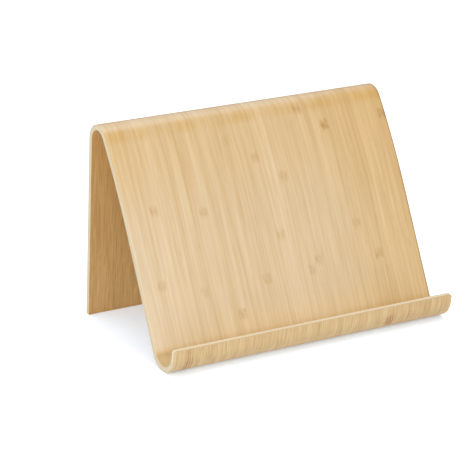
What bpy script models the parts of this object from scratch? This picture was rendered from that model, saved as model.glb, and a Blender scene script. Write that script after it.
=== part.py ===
"""Phone and tablet stand moulded from one sheet of bamboo plywood.

The sheet stands as an upright rear leg, rolls over a tight crest, comes down as a sloping front panel and
curls up again into a trough with a low lip. The plywood is built as it is laid up: a face veneer of narrow
bamboo strips glued edge to edge, a crossband, a core ply, a second crossband and a back veneer.

Metres, +Z up. +X runs along the width, -Y is the side of the lip. The origin is the centre of the base.
"""

from collections import namedtuple
from math import ceil, cos, pi, radians, sin

import bpy

# Overall size
WIDTH = 0.260
HEIGHT = 0.170
THICKNESS = 0.0046

# Lay-up
PLY_COUNT = 5
GLUE_LINE = 0.0001
PLY = (THICKNESS - (PLY_COUNT - 1) * GLUE_LINE) / PLY_COUNT
STRIP_COUNT = 36
FOOT_EASE = 0.0003  # how far the layers that don't bear on the ground stop short of it at the leg's foot

# Side profile, measured on the middle of the sheet's thickness. Leans are from the vertical.
LEG_LEAN = radians(3.05)
CREST_RADIUS = 0.0133
PANEL_LEAN = radians(27.9)
PANEL_SWEEP = radians(8.0)  # how far the upper panel turns before it runs straight
PANEL_CURVE_RADIUS = 0.600
TROUGH_REAR_RADIUS = 0.0154
TROUGH_FRONT_RADIUS = 0.0170
LIP_LEAN = radians(6.0)
LIP_STRAIGHT = 0.0062

FACET = radians(8.0)  # the most that one facet of a tight bend turns
SWEEP_FACET = radians(2.0)
LEVEL = pi / 2  # heading of a sheet that runs forwards and level

# Finish, in linear colours
BAMBOO = (0.74, 0.57, 0.34)
CROSSBAND = (0.58, 0.41, 0.22)
CORE = (0.66, 0.49, 0.28)
SATIN_ROUGHNESS = 0.5
TONE_SPREAD = 0.07  # how much lighter or darker than the rest one strip can be

Station = namedtuple("Station", "y z heading")


def clear_scene():
    for obj in list(bpy.data.objects):
        bpy.data.objects.remove(obj)


def new_collection(name):
    collection = bpy.data.collections.new(name)
    bpy.context.scene.collection.children.link(collection)
    return collection


def satin_wood(name, colour):
    """A lacquered wood material."""
    material = bpy.data.materials.new(name)
    material.use_nodes = True
    shader = material.node_tree.nodes["Principled BSDF"]
    shader.inputs["Base Color"].default_value = (*colour, 1.0)
    shader.inputs["Roughness"].default_value = SATIN_ROUGHNESS
    shader.inputs["Metallic"].default_value = 0.0
    return material


def strip_colour(index):
    """Bamboo, a little lighter or darker from one strip to the next, with no repeat that the eye finds."""
    tone = 1.0 + TONE_SPREAD * sin(2.4 * index) * cos(0.9 * index)
    return tuple(channel * tone for channel in BAMBOO)


def straight(stations, length):
    """Runs the sheet on along its heading. A heading of 0 points up and 90 degrees points forwards."""
    last = stations[-1]
    y = last.y - length * sin(last.heading)
    z = last.z + length * cos(last.heading)
    stations.append(Station(y, z, last.heading))


def bend(stations, radius, heading, facet=FACET):
    """Turns the sheet to a new heading on a round bend."""
    start = stations[-1]
    turn = heading - start.heading
    side = 1 if turn > 0 else -1
    centre_y = start.y - side * radius * cos(start.heading)
    centre_z = start.z - side * radius * sin(start.heading)
    steps = ceil(abs(turn) / facet)
    for step in range(1, steps + 1):
        angle = start.heading + turn * step / steps
        stations.append(
            Station(centre_y + side * radius * cos(angle), centre_z + side * radius * sin(angle), angle)
        )


def sheet_profile():
    """Stations along the middle of the sheet, from the leg's foot to the lip's edge."""
    panel = pi - PANEL_LEAN
    sweep_start = panel - PANEL_SWEEP
    leg_height = HEIGHT - THICKNESS / 2 - CREST_RADIUS * (1 - sin(LEG_LEAN))
    crest_drop = CREST_RADIUS * (1 - sin(sweep_start))
    sweep_drop = PANEL_CURVE_RADIUS * (sin(sweep_start) - sin(panel))
    trough_drop = TROUGH_REAR_RADIUS * (1 - sin(panel))
    panel_drop = HEIGHT - THICKNESS - crest_drop - sweep_drop - trough_drop

    stations = [Station(0.0, 0.0, LEG_LEAN)]
    straight(stations, leg_height / cos(LEG_LEAN))
    bend(stations, CREST_RADIUS, LEVEL)
    bend(stations, CREST_RADIUS, sweep_start)
    bend(stations, PANEL_CURVE_RADIUS, panel, SWEEP_FACET)
    straight(stations, panel_drop / cos(PANEL_LEAN))
    bend(stations, TROUGH_REAR_RADIUS, LEVEL)
    bend(stations, TROUGH_FRONT_RADIUS, LIP_LEAN)
    straight(stations, LIP_STRAIGHT)
    return stations


def offset_point(station, offset):
    """A point off the middle of the sheet, positive towards the face veneer."""
    return station.y + offset * cos(station.heading), station.z + offset * sin(station.heading)


def foot_point(station, offset, height):
    """Where the line of the leg at this offset comes down to a height above the ground."""
    y, z = offset_point(station, offset)
    return y + (z - height) * sin(station.heading) / cos(station.heading), height


def layer_outline(stations, inner, outer, foot_height):
    """The section of a layer of the sheet between two offsets, its foot cut level."""
    foot, rest = stations[0], stations[1:]
    outer_side = [foot_point(foot, outer, foot_height)] + [offset_point(s, outer) for s in rest]
    inner_side = [foot_point(foot, inner, foot_height)] + [offset_point(s, inner) for s in rest]
    return outer_side + inner_side[::-1]


def centred(outline, shift_y):
    return [(y + shift_y, z) for y, z in outline]


def extruded_layer(name, outline, x_low, x_high, material, collection):
    """A layer's section in the YZ plane, extruded along X."""
    curve = bpy.data.curves.new(name, "CURVE")
    curve.dimensions = "2D"
    curve.fill_mode = "BOTH"
    curve.extrude = (x_high - x_low) / 2
    spline = curve.splines.new("POLY")
    spline.points.add(len(outline) - 1)
    for point, (y, z) in zip(spline.points, outline):
        point.co = (y, z, 0.0, 1.0)
    spline.use_cyclic_u = True
    curve.materials.append(material)
    layer = bpy.data.objects.new(name, curve)
    layer.location = ((x_low + x_high) / 2, 0.0, 0.0)
    layer.rotation_euler = (pi / 2, 0.0, pi / 2)
    collection.objects.link(layer)
    return layer


def ply_offsets(index):
    """The inner and outer offset of a ply, counted from the back veneer."""
    inner = -THICKNESS / 2 + index * (PLY + GLUE_LINE)
    return inner, inner + PLY


def build_whole_plies(stations, shift_y, collection):
    """The plies that are one sheet across the whole width."""
    plies = (
        ("back_veneer", 0, 0.0, BAMBOO),
        ("back_crossband", 1, FOOT_EASE, CROSSBAND),
        ("core_ply", 2, FOOT_EASE, CORE),
        ("face_crossband", 3, 0.0, CROSSBAND),
    )
    for name, index, foot_height, colour in plies:
        outline = centred(layer_outline(stations, *ply_offsets(index), foot_height), shift_y)
        extruded_layer(name, outline, -WIDTH / 2, WIDTH / 2, satin_wood(name, colour), collection)


def build_face_strips(stations, shift_y, collection):
    """The face veneer: strips laid side by side, each bent along the whole profile."""
    outline = centred(layer_outline(stations, *ply_offsets(PLY_COUNT - 1), FOOT_EASE), shift_y)
    pitch = WIDTH / STRIP_COUNT
    for index in range(STRIP_COUNT):
        x_low = -WIDTH / 2 + index * pitch
        x_high = x_low + pitch
        if index > 0:
            x_low += GLUE_LINE / 2
        if index < STRIP_COUNT - 1:
            x_high -= GLUE_LINE / 2
        name = f"face_strip_{index + 1:02d}"
        extruded_layer(name, outline, x_low, x_high, satin_wood(name, strip_colour(index)), collection)


def centring_shift(stations):
    """The move along Y that puts the base's centre at the origin."""
    section = layer_outline(stations, -THICKNESS / 2, THICKNESS / 2, 0.0)
    depths = [y for y, _ in section]
    return -(min(depths) + max(depths)) / 2


def main():
    clear_scene()
    collection = new_collection("phone_stand")
    stations = sheet_profile()
    shift_y = centring_shift(stations)
    build_whole_plies(stations, shift_y, collection)
    build_face_strips(stations, shift_y, collection)


main()
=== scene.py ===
"""Looks of the phone stand: one sheet of five-ply bamboo, bent into a leg, a crest, a panel and a lip.

Every ply is built flat, as (x across, s along the sheet, n through it), rounded at its outer edges
while it is flat, and then laid along the bent line of the sheet. The grain is a solid pattern in the
same flat coordinates, so it runs through each strip and shows its ends at the cut edges.
"""

from collections import namedtuple
from math import cos, pi, radians, sin, tan

import bmesh
import bpy
import numpy as np
from mathutils import Matrix, Vector

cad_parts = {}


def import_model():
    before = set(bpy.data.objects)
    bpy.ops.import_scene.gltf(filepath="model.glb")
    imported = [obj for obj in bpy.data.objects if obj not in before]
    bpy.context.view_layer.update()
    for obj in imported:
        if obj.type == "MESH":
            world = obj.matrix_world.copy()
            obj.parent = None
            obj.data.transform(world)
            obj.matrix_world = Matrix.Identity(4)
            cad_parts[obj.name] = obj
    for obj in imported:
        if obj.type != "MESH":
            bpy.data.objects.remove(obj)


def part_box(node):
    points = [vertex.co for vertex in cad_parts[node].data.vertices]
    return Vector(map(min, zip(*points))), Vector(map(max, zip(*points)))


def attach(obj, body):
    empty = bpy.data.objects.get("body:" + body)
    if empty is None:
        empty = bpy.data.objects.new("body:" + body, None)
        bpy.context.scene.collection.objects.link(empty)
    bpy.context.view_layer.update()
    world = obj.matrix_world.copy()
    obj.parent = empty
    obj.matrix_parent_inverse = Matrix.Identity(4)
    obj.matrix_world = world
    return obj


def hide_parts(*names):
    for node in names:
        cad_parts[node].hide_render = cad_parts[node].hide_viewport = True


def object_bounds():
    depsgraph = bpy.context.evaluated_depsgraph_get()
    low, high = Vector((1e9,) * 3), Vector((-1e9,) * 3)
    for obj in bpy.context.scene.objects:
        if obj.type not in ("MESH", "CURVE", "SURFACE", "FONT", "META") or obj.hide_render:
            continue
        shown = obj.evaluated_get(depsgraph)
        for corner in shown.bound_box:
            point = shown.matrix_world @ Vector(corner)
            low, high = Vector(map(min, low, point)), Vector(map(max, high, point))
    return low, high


BODY = "root"
TO_MM = 1000.0

# The bent line of the sheet, as the CAD model has it, in metres and radians.
HEIGHT = 0.170
THICKNESS = 0.0046
PLY_COUNT = 5
GLUE_LINE = 0.0001
PLY = (THICKNESS - (PLY_COUNT - 1) * GLUE_LINE) / PLY_COUNT
STRIP_COUNT = 36
LEG_LEAN = radians(3.05)
CREST_RADIUS = 0.0133
PANEL_LEAN = radians(27.9)
PANEL_SWEEP = radians(8.0)
PANEL_CURVE_RADIUS = 0.600
TROUGH_REAR_RADIUS = 0.0154
TROUGH_FRONT_RADIUS = 0.0170
LIP_LEAN = radians(6.0)
LIP_STRAIGHT = 0.0062
LEVEL = pi / 2

# How the visible sheet is finished and how finely it is meshed.
ARRIS_RADIUS = 0.0005
FOOT_CORNER = 0.0008
LIP_CORNER = 0.0022
BEND_STEP = radians(3.0)
SWEEP_STEP = radians(0.5)
STRAIGHT_STEP = 0.012
ARRIS_STEPS = 4
SUPPORT = 0.00012
SHARP_ANGLE = radians(32)

Run = namedtuple("Run", "start length y z heading turn")


def run_end(run):
    """Where a run of the middle line ends: length, y, z and heading."""
    y, z, heading = run_point(run, np.array([run.length]))
    return run.start + run.length, float(y[0]), float(z[0]), float(heading[0])


def run_point(run, along):
    """y, z and heading at distances along one run. Heading 0 is up and 90 degrees is forwards."""
    if not run.turn:
        heading = np.full(len(along), run.heading)
        return run.y - along * sin(run.heading), run.z + along * cos(run.heading), heading
    radius = run.length / run.turn
    heading = run.heading + along / radius
    y = run.y + radius * (np.cos(heading) - cos(run.heading))
    z = run.z + radius * (np.sin(heading) - sin(run.heading))
    return y, z, heading


def sheet_runs():
    """The sheet's middle line from the foot to the lip, as straight runs and bends."""
    panel = pi - PANEL_LEAN
    sweep_start = panel - PANEL_SWEEP
    leg_height = HEIGHT - THICKNESS / 2 - CREST_RADIUS * (1 - sin(LEG_LEAN))
    crest_drop = CREST_RADIUS * (1 - sin(sweep_start))
    sweep_drop = PANEL_CURVE_RADIUS * (sin(sweep_start) - sin(panel))
    trough_drop = TROUGH_REAR_RADIUS * (1 - sin(panel))
    panel_drop = HEIGHT - THICKNESS - crest_drop - sweep_drop - trough_drop
    runs = []

    def add(length, to_heading):
        start, y, z, heading = run_end(runs[-1]) if runs else (0.0, 0.0, 0.0, LEG_LEAN)
        runs.append(Run(start, length, y, z, heading, round(to_heading - heading, 9)))

    add(leg_height / cos(LEG_LEAN), LEG_LEAN)
    add(CREST_RADIUS * (sweep_start - LEG_LEAN), sweep_start)
    add(PANEL_CURVE_RADIUS * PANEL_SWEEP, panel)
    add(panel_drop / cos(PANEL_LEAN), panel)
    add(TROUGH_REAR_RADIUS * (panel - LEVEL), LEVEL)
    add(TROUGH_FRONT_RADIUS * (LEVEL - LIP_LEAN), LIP_LEAN)
    add(LIP_STRAIGHT, LIP_LEAN)
    return runs


def path_point(runs, s):
    """y, z and heading of the middle line at lengths s."""
    y, z, heading = run_point(runs[0], s)
    for run in runs[1:]:
        on = s >= run.start
        y[on], z[on], heading[on] = run_point(run, s[on] - run.start)
    return y, z, heading


def rounded(x, s, n, width, length):
    """Flat sheet points with the sheet's outer arrises and its four plan corners rounded."""
    half = width / 2
    radius = np.where(s < length / 2, FOOT_CORNER, LIP_CORNER)
    middle_x = np.clip(x, radius - half, half - radius)
    middle_s = np.clip(s, radius, length - radius)
    out_x, out_s = x - middle_x, s - middle_s
    reach = np.maximum(abs(out_x), abs(out_s))
    straight = np.hypot(out_x, out_s)
    outwards = reach - (radius - ARRIS_RADIUS)
    through = abs(n) - (THICKNESS / 2 - ARRIS_RADIUS)
    on_arris = (outwards > 0) & (through > 0)
    shrink = np.ones(len(x))
    both = np.column_stack([outwards, through])[on_arris]
    shrink[on_arris] = both.max(axis=1) / np.linalg.norm(both, axis=1)
    reach = reach + outwards * (shrink - 1)
    new_n = n + np.sign(n) * through * (shrink - 1)
    scale = np.ones(len(x))
    near_rim = straight > 0
    scale[near_rim] = reach[near_rim] / straight[near_rim]
    return middle_x + out_x * scale, middle_s + out_s * scale, new_n


def bent(x, s, n, runs):
    """World points of flat sheet points. The foot of the leaning leg is cut level."""
    leg = runs[0].length
    s = s - n * tan(LEG_LEAN) * np.clip(1 - s / leg, 0, 1)
    y, z, heading = path_point(runs, s)
    return np.column_stack([x, y + n * np.cos(heading), z + n * np.sin(heading)])


def rim_stations(radius):
    """Distances in from a rounded edge at which the mesh needs a line of vertices."""
    angles = np.linspace(0, pi / 4, ARRIS_STEPS // 2 + 1)
    return [radius * (1 - tan(angle)) for angle in angles] + [radius + SUPPORT]


def edge_stations():
    """Distances in from the sheet's side or end, for its arris and both kinds of plan corner."""
    radii = (ARRIS_RADIUS, FOOT_CORNER, LIP_CORNER)
    return sorted(d for radius in radii for d in rim_stations(radius))


def along_stations(runs):
    """Lengths along the sheet at which the mesh needs a line of vertices."""
    found = []
    for run in runs:
        if run.turn:
            step = SWEEP_STEP if run.length / abs(run.turn) > 0.1 else BEND_STEP
            count = int(np.ceil(abs(run.turn) / step))
            inner = []
        else:
            count = max(1, int(round(run.length / STRAIGHT_STEP)))
            inner = [SUPPORT * 4, run.length - SUPPORT * 4]
        found += [run.start + run.length * i / count for i in range(count + 1)]
        found += [run.start + d for d in inner]
    length = runs[-1].start + runs[-1].length
    rims = edge_stations()
    found = [s for s in found if rims[-1] < s < length - rims[-1]]
    return merged(found + rims + [length - d for d in rims])


def merged(values):
    """Sorted values, leaving out any that repeats the one before it."""
    kept = []
    for value in sorted(values):
        if not kept or value - kept[-1] > 1e-6:
            kept.append(value)
    return kept


def across_stations(low, high, width):
    """Positions across the sheet at which a piece from low to high needs a line of vertices."""
    rims = edge_stations()
    edges = [d - width / 2 for d in rims] + [width / 2 - d for d in rims]
    return merged([low, high] + [x for x in edges if low < x < high])


def through_stations(low, high):
    """Heights through the sheet at which a ply from low to high needs a line of vertices."""
    rims = rim_stations(ARRIS_RADIUS)[:-1]
    faces = [d - THICKNESS / 2 for d in rims] + [THICKNESS / 2 - d for d in rims]
    return merged([low, high] + [n for n in faces if low < n < high])


def grid_box(xs, ss, ns):
    """Vertices and quads of a closed box whose six sides are grids of these stations."""
    shape = (len(xs), len(ss), len(ns))
    index = -np.ones(shape, int)
    rim = np.zeros(shape, bool)
    rim[[0, -1]] = rim[:, [0, -1]] = rim[:, :, [0, -1]] = True
    index[rim] = np.arange(rim.sum())
    points = np.argwhere(rim)
    vertices = np.column_stack([np.take(v, points[:, i]) for i, v in enumerate((xs, ss, ns))])
    quads = []
    for axis in range(3):
        for side in (0, -1):
            sheet = np.take(index, side, axis=axis)
            if (side == 0) != (axis == 1):
                sheet = sheet.T
            corners = (sheet[:-1, :-1], sheet[1:, :-1], sheet[1:, 1:], sheet[:-1, 1:])
            quads.append(np.stack([c.ravel() for c in corners], axis=1))
    return vertices, np.concatenate(quads)


def build_piece(name, xs, ns, sheet, strip, knuckles):
    """A ply or a strip of one, as a closed mesh that carries its flat coordinates in millimetres."""
    flat, quads = grid_box(xs, sheet.stations, ns)
    points = bent(*rounded(*flat.T, sheet.width, sheet.length), sheet.runs)
    points[:, 1] += sheet.shift
    mesh = bpy.data.meshes.new(name)
    mesh.from_pydata(points.tolist(), [], quads.tolist())
    add_attribute(mesh, "sheet_mm", flat * TO_MM)
    add_attribute(mesh, "strip", np.tile(strip, (len(flat), 1)))
    add_attribute(mesh, "knuckles", np.tile(knuckles, (len(flat), 1)))
    made = bmesh.new()
    made.from_mesh(mesh)
    bmesh.ops.recalc_face_normals(made, faces=made.faces)
    for face in made.faces:
        face.smooth = True
    for edge in made.edges:
        edge.smooth = edge.calc_face_angle() < SHARP_ANGLE
    made.to_mesh(mesh)
    made.free()
    piece = bpy.data.objects.new(name, mesh)
    bpy.context.scene.collection.objects.link(piece)
    return piece


def add_attribute(mesh, name, values):
    """Stores one vector for each vertex."""
    attribute = mesh.attributes.new(name, "FLOAT_VECTOR", "POINT")
    attribute.data.foreach_set("vector", np.asarray(values, np.float32).ravel())


Sheet = namedtuple("Sheet", "runs width length stations shift")


def plan_sheet(cad_low, cad_high):
    """The sheet's flat size and where it stands, so that it fills the CAD model's box."""
    runs = sheet_runs()
    length = runs[-1].start + runs[-1].length
    width = cad_high[0] - cad_low[0]
    stations = along_stations(runs)
    s = np.array(stations)
    middle = np.zeros(len(s))
    faces = [bent(*rounded(middle, s, middle + n, width, length), runs)
             for n in (-THICKNESS / 2, THICKNESS / 2)]
    y = np.concatenate(faces)[:, 1]
    shift = (cad_low[1] + cad_high[1]) / 2 - (y.min() + y.max()) / 2
    return Sheet(runs, width, length, stations, shift)


# Wood colours, as linear albedo, and tints; several tints paint light and shade into the wood.
FACE_PALE = (0.600, 0.477, 0.320)
FACE_DEEP = (0.450, 0.306, 0.146)
# Golden tint: partly the face's own tone, partly painted light and shade.
FACE_GOLD_AND_PAINTED_SHADE = (0.945, 0.835, 0.620)
BACK_PALE = (0.612, 0.378, 0.142)
BACK_DEEP = (0.430, 0.222, 0.062)
LIP_PALE = (0.590, 0.418, 0.207)
LIP_DEEP = (0.375, 0.220, 0.074)
FIBRE_TINT = (0.780, 0.580, 0.380)
KNUCKLE_TINT = (0.730, 0.590, 0.330)
# Painted shade: the golden band just below the crest.
CREST_BAND_SHADE_TINT = (0.920, 0.830, 0.500)
# Painted shade: the top and back of the crest.
CREST_TOP_SHADE_TINT = (0.820, 0.660, 0.530)
# Painted light: the low part of the panel above the trough.
FOOT_PAINTED_LIGHT_TINT = (1.140, 1.130, 1.060)
# Painted shade: the trough.
TROUGH_SHADE_TINT = (0.860, 0.880, 0.930)
STAIN_TINT = (0.680, 0.470, 0.280)
# Painted light and shade: the front of the lip.
LIP_LIGHT_SHADE_TINT = (0.945, 0.955, 0.940)
RIM_TINT = (1.000, 0.910, 0.740)
LIP_RIGHT_TINT = (0.960, 0.930, 0.900)
# Painted shade: the rim along the face's side edge.
ARRIS_SHADE_TINT = (0.660, 0.530, 0.290)
EDGE_PALE = (0.566, 0.487, 0.345)
EDGE_DEEP = (0.420, 0.348, 0.232)
LIP_EDGE_TINT = (1.170, 1.170, 1.200)
VENEER_EDGE = (0.520, 0.370, 0.180)
LIP_VENEER_TINT = (0.850, 0.820, 0.780)
GLUE_TINT = (0.780, 0.720, 0.620)


# Where the looks change, in millimetres along the sheet or across it.
EDGE_TOLERANCE_MM = 0.01
CREST_SLANT = 0.016
BACK_TO_LIP = (200.0, 370.0)
LIP_EDGE_FROM = 400.0
# How far a strip's seed moves its grain, across the sheet and along it.
SEED_SHIFT = (37.0, 411.0)


class Shader:
    """A node material under construction. Every method returns the output socket it adds."""

    def __init__(self, name):
        self.material = bpy.data.materials.new(name + "_finish")
        self.material.use_nodes = True
        self.tree = self.material.node_tree
        self.tree.nodes.clear()

    def node(self, kind, inputs=None, **settings):
        made = self.tree.nodes.new("ShaderNode" + kind)
        for key, value in settings.items():
            setattr(made, key, value)
        for key, value in (inputs or {}).items():
            if isinstance(value, bpy.types.NodeSocket):
                self.tree.links.new(value, made.inputs[key])
            else:
                made.inputs[key].default_value = value
        return made

    def attribute(self, name):
        return self.node("Attribute", attribute_name=name).outputs["Vector"]

    def parts(self, vector):
        return self.node("SeparateXYZ", {0: vector}).outputs[:3]

    def math(self, operation, *values, clamp=False):
        inputs = dict(enumerate(values))
        return self.node("Math", inputs, operation=operation, use_clamp=clamp).outputs[0]

    def vector(self, operation, a, b):
        return self.node("VectorMath", {0: a, 1: b}, operation=operation).outputs[0]

    def add(self, *terms):
        total = terms[0]
        for term in terms[1:]:
            total = self.math("ADD", total, term)
        return total

    def times(self, a, b):
        return self.math("MULTIPLY", a, b)

    def ramp(self, value, low, high, to_low=0.0, to_high=1.0):
        """A smooth step of value, from to_low at low to to_high at high."""
        inputs = {0: value, 1: low, 2: high, 3: to_low, 4: to_high}
        return self.node("MapRange", inputs, interpolation_type="SMOOTHSTEP").outputs[0]

    def noise(self, point, stretch, detail=2.0, roughness=0.5):
        """Noise from about -0.5 to 0.5. Stretch is its frequency in each direction, per millimetre."""
        scaled = self.vector("MULTIPLY", point, stretch)
        inputs = {"Vector": scaled, "Scale": 1.0, "Detail": detail, "Roughness": roughness}
        value = self.node("TexNoise", inputs, noise_dimensions="3D").outputs[0]
        return self.math("SUBTRACT", value, 0.5)

    def tint(self, factor, colour, by):
        """The colour, multiplied by another where the factor is 1."""
        return self.mix(factor, colour, by, blend_type="MULTIPLY")

    def mix(self, factor, a, b, blend_type="MIX"):
        """Colour a at factor 0 and b, or a blended with b, at factor 1."""
        inputs = {0: factor, 6: a, 7: b}
        for key in (6, 7):
            if isinstance(inputs[key], tuple):
                inputs[key] = (*inputs[key], 1.0)
        blended = blend_type != "MIX"
        return self.node("Mix", inputs, data_type="RGBA", blend_type=blend_type,
                         clamp_factor=not blended).outputs[2]

    def finish(self, colour, roughness, height, depth):
        bump = self.node("Bump", {"Height": height, "Strength": 1.0, "Distance": depth})
        inputs = {
            "Base Color": colour,
            "Roughness": roughness,
            "Normal": bump.outputs[0],
            "IOR": 1.5,
        }
        surface = self.node("BsdfPrincipled", inputs).outputs[0]
        self.tree.links.new(surface, self.node("OutputMaterial").inputs["Surface"])
        return self.material


def wood_point(shader):
    """The flat coordinates, and the same moved by the strip's seed so that each strip has its own grain."""
    flat = shader.attribute("sheet_mm")
    tone, seed, tilt = shader.parts(shader.attribute("strip"))
    shift_x, shift_s = (shader.times(seed, reach) for reach in SEED_SHIFT)
    shift = shader.node("CombineXYZ", {0: shift_x, 1: shift_s})
    own = shader.vector("ADD", flat, shift.outputs[0])
    bow = shader.node("CombineXYZ", {0: shader.times(shader.noise(own, (0.03, 0.012, 0.0)), 1.6)})
    return flat, shader.vector("ADD", own, bow.outputs[0]), tone, tilt


def cut_edge(shader, flat, sheet):
    """1 on the sheet's cut edges and 0 on its two faces."""
    x, s = shader.parts(flat)[:2]
    side_x = sheet.width / 2 * TO_MM - EDGE_TOLERANCE_MM
    side = shader.math("GREATER_THAN", shader.math("ABSOLUTE", x), side_x)
    foot = shader.math("LESS_THAN", s, EDGE_TOLERANCE_MM)
    lip = shader.math("GREATER_THAN", s, sheet.length * TO_MM - EDGE_TOLERANCE_MM)
    return shader.math("MAXIMUM", side, shader.math("MAXIMUM", foot, lip))


def knuckle_marks(shader, flat, own, across):
    """Smudges of short dark fibres where the bamboo had its joints. 0 is clear wood."""
    s = shader.parts(flat)[1]
    first, second, strength = shader.parts(shader.attribute("knuckles"))
    wobble = shader.times(shader.noise(own, (0.65, 0.05, 0.3), 2.0), 4.5)
    place = shader.add(s, wobble)
    near = shader.math(
        "MINIMUM",
        shader.math("ABSOLUTE", shader.math("SUBTRACT", place, first)),
        shader.math("ABSOLUTE", shader.math("SUBTRACT", place, second)),
    )
    smudge = shader.ramp(near, 1.0, 6.5, 1.0, 0.0)
    dashes = shader.ramp(shader.noise(own, (1.3, 0.20, 1.0), 3.0, 0.6), -0.14, 0.16)
    spread = shader.ramp(shader.math("ABSOLUTE", across), 0.3, 2.4, 0.75, 1.0)
    marks = shader.times(smudge, shader.add(shader.times(shader.times(dashes, spread), 0.74), 0.14))
    return shader.times(marks, strength)


def face_material(sheet):
    """Sanded and lacquered bamboo strips, side by side, with the grain along the sheet. Its colour also
    carries painted light and shade, from the crest down to the trough.
    """
    shader = Shader("face_bamboo")
    flat, own, tone, tilt = wood_point(shader)
    x, s = shader.parts(flat)[:2]
    edge = cut_edge(shader, flat, sheet)
    half = sheet.width / 2 * TO_MM
    pitch = sheet.width / STRIP_COUNT * TO_MM
    across = shader.math("WRAP", shader.add(x, half - pitch / 2), pitch / 2, -pitch / 2)
    broad = shader.noise(own, (0.26, 0.0060, 0.30), 2.0)
    bands = shader.noise(own, (0.42, 0.0120, 0.80), 2.0, 0.45)
    flames = shader.noise(own, (0.95, 0.0360, 1.20), 2.0, 0.50)
    fibres = shader.noise(own, (3.60, 0.1000, 2.40), 3.0, 0.60)
    marks = knuckle_marks(shader, flat, own, across)
    deep = shader.add(
        tone,
        shader.times(tilt, shader.times(across, 1 / pitch)),
        shader.times(broad, 0.45),
        shader.times(bands, 0.95),
        shader.times(flames, 0.40),
        shader.times(fibres, 0.40),
        # Painted light: the face turns paler towards the trough.
        shader.ramp(s, 270.0, 352.0, 0.0, -0.27),
    )
    wood = shader.mix(deep, FACE_PALE, FACE_DEEP)
    # Golden tone, partly the wood's own and partly painted light and shade.
    wood = shader.tint(gold_tone_and_painted_light(shader, x, s), wood, FACE_GOLD_AND_PAINTED_SHADE)
    # Painted shade: a patchy golden band just below the crest.
    wood = shader.tint(crest_band_painted_shade(shader, flat, s), wood, CREST_BAND_SHADE_TINT)
    # Painted shade: the top and back of the crest are made darker and browner.
    crest_top_shade = shader.times(shader.ramp(s, 162.0, 169.0), shader.ramp(s, 173.5, 177.0, 1.0, 0.0))
    wood = shader.tint(crest_top_shade, wood, CREST_TOP_SHADE_TINT)
    # Painted light: the low part of the panel above the trough is made paler, most in the middle.
    foot = shader.times(shader.ramp(s, 332.0, 358.0), shader.ramp(s, 363.5, 367.0, 1.0, 0.0))
    foot = shader.times(foot, shader.ramp(shader.math("ABSOLUTE", x), 50.0, 125.0, 1.0, 0.35))
    wood = shader.tint(foot, wood, FOOT_PAINTED_LIGHT_TINT)
    # Painted shade: the trough is made darker and cooler.
    wood = shader.tint(shader.ramp(s, 362.5, 366.5), wood, TROUGH_SHADE_TINT)
    dark_fibre = shader.ramp(shader.noise(own, (1.8, 0.050, 2.0), 2.0), 0.15, 0.29)
    dark_fibre = shader.times(dark_fibre, shader.ramp(x, 20.0, 100.0, 0.52, 1.0))
    wood = shader.tint(dark_fibre, wood, FIBRE_TINT)
    wood = shader.tint(marks, wood, KNUCKLE_TINT)
    # Painted shade: a dark brown rim along the face's side edges, with a wavering width, full on the right
    # and none on the left.
    from_side = shader.math("SUBTRACT", half, shader.math("ABSOLUTE", x))
    arris_shade_wobble = shader.noise(flat, (0.4, 0.05, 1.0), 3.0)
    arris = shader.ramp(shader.add(from_side, shader.times(arris_shade_wobble, 0.9)), 0.50, 2.00, 1.0, 0.0)
    arris = shader.times(arris, shader.ramp(x, -100.0, 100.0, 0.0, 1.0))
    wood = shader.tint(arris, wood, ARRIS_SHADE_TINT)
    colour = shader.mix(edge, wood, edge_colour(shader, flat))
    roughness = shader.add(
        0.42, shader.times(fibres, 0.10), shader.times(marks, 0.10), shader.times(edge, 0.22)
    )
    joint = shader.ramp(shader.math("ABSOLUTE", across), pitch / 2 - 0.16, pitch / 2 - 0.02, 0.0, -0.3)
    height = shader.add(fibres, shader.times(bands, 0.5), joint, shader.times(marks, -0.4))
    return shader.finish(colour, roughness, height, 0.00004)


def gold_tone_and_painted_light(shader, x, s):
    """How golden the face is: most towards the right and below the crest, least low on the left. Partly the
    face's own tone and partly painted light and shade: a painted highlight keeps the crest's front pale and
    painted shade turns the trough amber.
    """
    rightwards = shader.ramp(x, 30.0, 125.0, 0.22, 0.95)
    # Golden below the crest: partly the face's own tone, partly painted shade.
    upwards = shader.ramp(s, 190.0, 300.0, 0.42, 0.0)
    upwards = shader.times(upwards, shader.ramp(x, 60.0, 130.0, 1.0, 0.3))
    left = shader.ramp(x, -128.0, -95.0, 1.0, 0.0)
    left = shader.times(left, shader.ramp(s, 200.0, 290.0, 0.28, -0.3))
    # Painted highlight: the crest's front is made paler, less golden.
    crest = shader.ramp(shader.add(s, shader.times(x, CREST_SLANT)), 180.0, 184.5, -0.75, 0.0)
    corner = shader.times(shader.ramp(x, 50.0, 115.0), shader.ramp(s, 174.0, 200.0, 0.35, 0.0))
    low = shader.ramp(s, 285.0, 318.0, 0.0, 0.16)
    low = shader.times(low, shader.ramp(x, 70.0, 125.0, 1.0, 0.2))
    bend = shader.ramp(s, 359.0, 362.0, 0.0, 0.25)
    # Painted shade: the trough is made amber, most towards its left end.
    trough_shade = shader.ramp(s, 360.5, 367.0, 0.0, 1.5)
    trough_shade = shader.add(trough_shade, shader.ramp(s, 374.0, 386.0, 0.0, -1.0))
    trough_shade = shader.times(trough_shade, shader.ramp(x, -114.0, 0.0, 0.7, 0.4))
    return shader.add(rightwards, upwards, left, crest, corner, low, bend, trough_shade)


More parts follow.
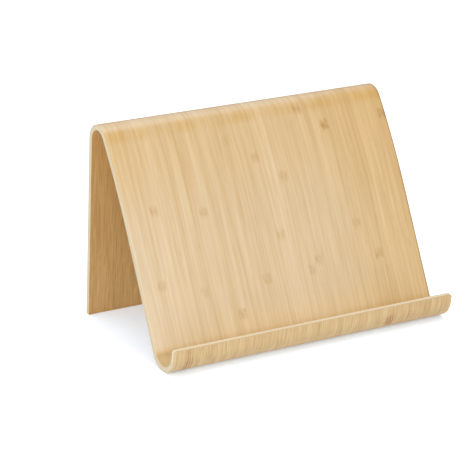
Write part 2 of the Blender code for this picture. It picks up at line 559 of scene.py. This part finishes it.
def crest_band_painted_shade(shader, flat, s):
    """Painted shade: a patchy golden band where the panel leaves the crest, strongest at its left end."""
    x = shader.parts(flat)[0]
    along = shader.add(s, shader.times(x, CREST_SLANT))
    from_band = shader.math("ABSOLUTE", shader.math("SUBTRACT", along, 187.8))
    patches = shader.ramp(shader.noise(flat, (0.10, 0.05, 0.1), 2.0), -0.16, 0.18, 0.20, 1.0)
    patches = shader.add(patches, shader.ramp(x, -124.0, -106.0, 0.4, 0.0))
    return shader.times(patches, shader.ramp(from_band, 1.0, 8.0, 0.68, 0.0))


def back_material(sheet):
    """The rear veneer: finer and browner grain, more open than the face, with painted light and shade on
    the lip.
    """
    shader = Shader("back_bamboo")
    flat, own = wood_point(shader)[:2]
    x, s = shader.parts(flat)[:2]
    edge = cut_edge(shader, flat, sheet)
    broad = shader.noise(own, (0.14, 0.0040, 0.30), 2.0)
    bands = shader.noise(own, (0.80, 0.0200, 0.80), 3.0, 0.60)
    fibres = shader.noise(own, (2.20, 0.0500, 2.40), 4.0, 0.65)
    towards_lip = shader.ramp(s, *BACK_TO_LIP)
    fineness = shader.ramp(s, *BACK_TO_LIP, 2.8, 2.7)
    deep = shader.add(
        0.45,
        shader.times(broad, shader.ramp(s, *BACK_TO_LIP, 0.5, 0.38)),
        shader.times(bands, 0.98),
        shader.times(fibres, fineness),
    )
    pale = shader.mix(towards_lip, BACK_PALE, LIP_PALE)
    wood = shader.mix(deep, pale, shader.mix(towards_lip, BACK_DEEP, LIP_DEEP))
    dark_fibre = shader.ramp(shader.noise(own, (1.6, 0.050, 2.0), 3.0), 0.08, 0.26, 0.0, 0.90)
    wood = shader.tint(dark_fibre, wood, FIBRE_TINT)
    wood = shader.tint(lip_marks(shader, own, x, s), wood, STAIN_TINT)
    # Painted light and shade on the front of the lip: lighter low on its curve, a little darker higher up.
    lip_painted_light_shade = shader.ramp(s, 393.0, 398.5, -1.2, 1.0)
    lip_painted_light_shade = shader.times(lip_painted_light_shade, shader.ramp(s, 399.0, 405.0, 1.0, 0.0))
    lip_painted_light_shade = shader.times(lip_painted_light_shade, shader.ramp(s, 384.0, 390.0))
    wood = shader.tint(lip_painted_light_shade, wood, LIP_LIGHT_SHADE_TINT)
    wood = shader.tint(shader.ramp(s, 0.5, 3.5, 1.0, 0.0), wood, RIM_TINT)
    wood = shader.tint(shader.times(towards_lip, shader.ramp(x, 30.0, 115.0)), wood, LIP_RIGHT_TINT)
    colour = shader.mix(edge, wood, edge_colour(shader, flat))
    roughness = shader.add(0.48, shader.times(fibres, 0.14), shader.times(edge, 0.18))
    height = shader.add(fibres, shader.times(bands, 0.6), shader.times(dark_fibre, -0.5))
    return shader.finish(colour, roughness, height, 0.00006)


def lip_marks(shader, own, x, s):
    """The two marked places on the outside of the lip: a few dark lines near its left end and a knuckle."""
    from_lines = shader.math("ABSOLUTE", shader.math("SUBTRACT", x, LIP_LINES_X))
    wander = shader.times(shader.noise(own, (0.5, 0.05, 1.0), 2.0), 1.2)
    lines = shader.math("SINE", shader.times(shader.add(x, wander), 2 * pi / LIP_LINES_PITCH))
    lines = shader.ramp(lines, -0.5, 0.5)
    lines = shader.times(lines, shader.ramp(from_lines, 2.4, 4.2, 1.0, 0.0))
    lines = shader.times(lines, shader.ramp(s, 372.0, 384.0))
    lines = shader.times(lines, shader.ramp(s, 398.0, 405.0, 1.2, 0.55))
    from_knuckle = shader.math("ABSOLUTE", shader.math("SUBTRACT", x, LIP_KNUCKLE_X))
    dashes = shader.ramp(shader.noise(own, (1.7, 0.05, 1.0), 2.0), -0.10, 0.12)
    dashes = shader.times(dashes, shader.ramp(from_knuckle, 3.4, 5.5, 1.1, 0.0))
    from_middle = shader.math("ABSOLUTE", shader.math("SUBTRACT", s, LIP_KNUCKLE_S))
    dashes = shader.times(dashes, shader.ramp(from_middle, 3.0, 7.0, 1.0, 0.0))
    return shader.math("MAXIMUM", lines, dashes)


def edge_colour(shader, flat):
    """The cut edge: pale, browner towards the back veneer, with a thin glue line between layers."""
    s, n = shader.parts(flat)[1:]
    at_lip = shader.math("GREATER_THAN", s, LIP_EDGE_FROM)
    lines = shader.noise(flat, (0.05, 0.05, 7.0), 3.0, 0.6)
    grain = shader.noise(flat, (3.0, 0.9, 3.0), 3.0, 0.6)
    stains = shader.noise(flat, (0.03, 0.03, 0.5), 2.0)
    deep = shader.add(
        0.35, shader.times(lines, 1.1), shader.times(grain, 0.6), shader.times(stains, 0.8)
    )
    wood = shader.mix(deep, EDGE_PALE, EDGE_DEEP)
    reach = shader.ramp(s, 395.0, 400.0, -0.5, -0.1)
    towards_back = shader.ramp(n, -1.7, reach, 0.90, 0.0)
    towards_back = shader.times(towards_back, shader.ramp(s, 150.0, 200.0, 0.4, 1.0))
    towards_face = shader.ramp(n, 1.4, 2.1, 0.0, 0.60)
    wood = shader.tint(at_lip, wood, LIP_EDGE_TINT)
    veneer = shader.tint(at_lip, VENEER_EDGE, LIP_VENEER_TINT)
    wood = shader.mix(shader.add(towards_back, towards_face), wood, veneer)
    pitch = (PLY + GLUE_LINE) * TO_MM
    from_joint = shader.math(
        "ABSOLUTE",
        shader.math("WRAP", shader.add(n, (THICKNESS + GLUE_LINE) / 2 * TO_MM), pitch / 2, -pitch / 2),
    )
    glue = shader.ramp(from_joint, 0.03, 0.14, 1.0, 0.0)
    return shader.tint(glue, wood, GLUE_TINT)


def ply_material(name, sheet, along, pale, deep_colour):
    """An inner ply, seen only at the cut edges. Its grain runs along the sheet, or across it."""
    shader = Shader(name)
    flat = shader.attribute("sheet_mm")
    stretch = (3.2, 0.05, 4.0) if along else (0.05, 3.2, 4.0)
    fibres = shader.noise(flat, stretch, 3.0, 0.6)
    deep = shader.add(0.4, shader.times(fibres, 1.4))
    wood = shader.mix(deep, pale, deep_colour)
    edge = cut_edge(shader, flat, sheet)
    colour = shader.mix(shader.times(edge, 0.80), wood, edge_colour(shader, flat))
    roughness = shader.add(0.62, shader.times(fibres, 0.15))
    return shader.finish(colour, roughness, fibres, 0.00005)


# How much the face strips differ at random: in depth of tone, and from left edge to right edge.
STRIP_SEED = 36
TONE_SPREAD = 0.08
TILT_SPREAD = 0.12
# Where the marks are on the outside of the lip, in millimetres.
LIP_LINES_X = -116.3
LIP_LINES_PITCH = 1.9
LIP_KNUCKLE_X = 69.5
LIP_KNUCKLE_S = 398.5
# Where the strips' knuckles are on the face, in millimetres along the sheet, and how dark.
STRIP_KNUCKLES = {3: 313, 4: 253, 8: 324, 10: 261, 12: 347, 15: 206, 16: 323, 18: 224, 19: 290,
                  21: 243, 22: 323, 23: 316, 25: 189, 28: 206, 29: 292, 31: 320, 36: 204}
KNUCKLE_DARKNESS = {28: 1.6, 12: 1.0, 15: 0.35, 31: 1.1, 8: 0.45, 22: 0.6, 25: 1.0,
                    29: 0.5, 36: 1.2}
USUAL_DARKNESS = 0.7
# The knuckles that the photo doesn't show, in the same measure: how far apart a strip's two are, and
# where its first is, on the rear of the leg, if the photo shows none.
KNUCKLE_SPACING = (350, 420)
LEG_KNUCKLES = (20, 150)
CREST_TOP = 170
NO_KNUCKLE = -1000.0
# The wood of the inner plies.
CROSSBAND_PALE = (0.56, 0.47, 0.33)
CROSSBAND_DEEP = (0.40, 0.31, 0.19)
CORE_PALE = (0.62, 0.55, 0.41)
CORE_DEEP = (0.46, 0.38, 0.26)


def strip_looks(count):
    """Tone, seed and tilt of each face strip, and its two knuckles with their darkness."""
    draw = np.random.default_rng(STRIP_SEED)
    looks = []
    knuckles = []
    for number in range(1, count + 1):
        tone = 0.5 + draw.normal(0.0, TONE_SPREAD)
        looks.append((tone, draw.uniform(0.0, 1.0), draw.normal(0.0, TILT_SPREAD)))
        spacing = draw.uniform(*KNUCKLE_SPACING)
        first = STRIP_KNUCKLES.get(number, draw.uniform(*LEG_KNUCKLES))
        second = first - spacing if first > CREST_TOP else first + spacing
        knuckles.append((first, second, KNUCKLE_DARKNESS.get(number, USUAL_DARKNESS)))
    return looks, knuckles


def build_sheet(sheet, cad_strips):
    """The 36 face strips and the four whole plies, each in place of its CAD node."""
    face = face_material(sheet)
    back = back_material(sheet)
    cross = ply_material("crossband_ply", sheet, False, CROSSBAND_PALE, CROSSBAND_DEEP)
    core = ply_material("core_ply", sheet, True, CORE_PALE, CORE_DEEP)
    step = PLY + GLUE_LINE
    joints = [-THICKNESS / 2] + [-THICKNESS / 2 + step * i - GLUE_LINE / 2 for i in range(1, PLY_COUNT)]
    joints.append(THICKNESS / 2)
    half = sheet.width / 2
    plies = (
        ("back_veneer", "back_bamboo", back),
        ("back_crossband", "crossband_ply", cross),
        ("core_ply", "core_ply", core),
        ("face_crossband", "crossband_ply", cross),
    )
    for level, (name, slot, material) in enumerate(plies):
        heights = through_stations(joints[level], joints[level + 1])
        piece = build_piece(name + "_wood", across_stations(-half, half, sheet.width), heights, sheet,
                            strip=(0.5, 0.37, 0.0), knuckles=(NO_KNUCKLE, NO_KNUCKLE, 0.0))
        dress(piece, name, material)
    looks, knuckles = strip_looks(STRIP_COUNT)
    heights = through_stations(joints[-2], joints[-1])
    for name, left, right, look, knuckle in zip(*cad_strips, looks, knuckles):
        stations = across_stations(left, right, sheet.width)
        piece = build_piece(name + "_wood", stations, heights, sheet, look, knuckle)
        dress(piece, name, face)


def dress(piece, node, material):
    """Gives a piece its material and puts it in place of the CAD node."""
    piece.data.materials.append(material)
    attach(piece, BODY)
    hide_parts(node)


def strip_edges():
    """Names of the CAD's face strips, and where each starts and ends once their gaps are closed."""
    names = [f"face_strip_{number:02d}" for number in range(1, STRIP_COUNT + 1)]
    boxes = [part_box(name) for name in names]
    gaps = [(a[1].x + b[0].x) / 2 for a, b in zip(boxes, boxes[1:])]
    return names, [boxes[0][0].x] + gaps, gaps + [boxes[-1][1].x]


# The camera: a long lens at the photograph's angle.
CAMERA_LENS_MM = 168.04
CAMERA_SENSOR_MM = 36.0
CAMERA_AZIMUTH = radians(-30.01)
CAMERA_ELEVATION = radians(20.25)
CAMERA_ROLL = radians(0.888)
CAMERA_DISTANCE = 1.7784
CAMERA_TARGET = Vector((-0.03316, 0.0, 0.07811))

FLOOR_HALF = 4.0
FLOOR_ALBEDO = (0.80, 0.86, 0.92)
FLOOR_GLOW = (0.258, 0.287, 0.320)
WORLD_STRENGTH = 0.78
BACKDROP_STRENGTH = 1.05
OVERHEAD_STRENGTH = 1.33
OVERHEAD_ANGLE = radians(55)
OVERHEAD_FROM = Vector((0.1, 0.2, 2.2))


def make_camera():
    """Places the camera on a sphere about its target."""
    az, el = CAMERA_AZIMUTH, CAMERA_ELEVATION
    back = Vector((sin(az) * cos(el), -cos(az) * cos(el), sin(el)))
    level = Vector((cos(az), sin(az), 0.0))
    upright = level.cross(-back)
    right = cos(CAMERA_ROLL) * level + sin(CAMERA_ROLL) * upright
    up = -sin(CAMERA_ROLL) * level + cos(CAMERA_ROLL) * upright
    data = bpy.data.cameras.new("camera")
    data.lens = CAMERA_LENS_MM
    data.sensor_width = CAMERA_SENSOR_MM
    data.clip_start = 0.05
    data.clip_end = 50.0
    camera = bpy.data.objects.new("camera", data)
    bpy.context.scene.collection.objects.link(camera)
    place = CAMERA_TARGET + back * CAMERA_DISTANCE
    turn = Matrix((right, up, back)).transposed().to_4x4()
    camera.matrix_world = Matrix.Translation(place) @ turn
    bpy.context.scene.camera = camera


def make_light(name, place, target, size, power):
    """A square soft light that faces its target."""
    data = bpy.data.lights.new(name, "AREA")
    data.shape = "RECTANGLE"
    data.size, data.size_y = size
    data.energy = power
    light = bpy.data.objects.new(name, data)
    bpy.context.scene.collection.objects.link(light)
    aim = Vector(target) - Vector(place)
    light.matrix_world = Matrix.Translation(place) @ aim.to_track_quat("-Z", "Y").to_matrix().to_4x4()


def make_overhead():
    """A broad soft light from above, as even over the floor as a ceiling bank."""
    data = bpy.data.lights.new("overhead", "SUN")
    data.energy = OVERHEAD_STRENGTH
    data.angle = OVERHEAD_ANGLE
    light = bpy.data.objects.new("overhead", data)
    bpy.context.scene.collection.objects.link(light)
    turn = (-OVERHEAD_FROM).to_track_quat("-Z", "Y").to_matrix().to_4x4()
    light.matrix_world = Matrix.Translation(OVERHEAD_FROM) @ turn


def make_studio():
    """A white surround, a broad light overhead, two softer ones in front and on the left, a pale floor."""
    scene = bpy.context.scene
    scene.view_settings.view_transform = "Standard"
    world = bpy.data.worlds.new("studio")
    world.use_nodes = True
    nodes, links = world.node_tree.nodes, world.node_tree.links
    lit, seen = nodes["Background"], nodes.new("ShaderNodeBackground")
    for background, strength in ((lit, WORLD_STRENGTH), (seen, BACKDROP_STRENGTH)):
        background.inputs["Color"].default_value = (1.0, 1.0, 1.0, 1.0)
        background.inputs["Strength"].default_value = strength
    chosen = nodes.new("ShaderNodeMixShader")
    links.new(nodes.new("ShaderNodeLightPath").outputs["Is Camera Ray"], chosen.inputs[0])
    links.new(lit.outputs[0], chosen.inputs[1])
    links.new(seen.outputs[0], chosen.inputs[2])
    links.new(chosen.outputs[0], nodes["World Output"].inputs["Surface"])
    scene.world = world
    make_overhead()
    make_light("front", (0.2, -1.2, 0.8), (0.0, 0.0, 0.08), (0.7, 0.6), 3.2)
    make_light("left", (-1.5, -0.85, 0.65), (0.0, 0.0, 0.08), (1.4, 1.0), 13.0)
    mesh = bpy.data.meshes.new("floor")
    signs = ((-1, -1), (1, -1), (1, 1), (-1, 1))
    corners = [(x * FLOOR_HALF, y * FLOOR_HALF, 0.0) for x, y in signs]
    mesh.from_pydata(corners, [], [(0, 1, 2, 3)])
    floor = bpy.data.objects.new("floor", mesh)
    scene.collection.objects.link(floor)
    paper = Shader("floor_paper")
    inputs = {"Base Color": (*FLOOR_ALBEDO, 1.0), "Roughness": 0.9, "Specular IOR Level": 0.0,
              "Emission Color": (*FLOOR_GLOW, 1.0), "Emission Strength": 1.0}
    surface = paper.node("BsdfPrincipled", inputs).outputs[0]
    paper.tree.links.new(surface, paper.node("OutputMaterial").inputs["Surface"])
    mesh.materials.append(paper.material)


def main():
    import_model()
    cad_low, cad_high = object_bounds()
    sheet = plan_sheet(cad_low, cad_high)
    build_sheet(sheet, strip_edges())
    make_studio()
    make_camera()


main()
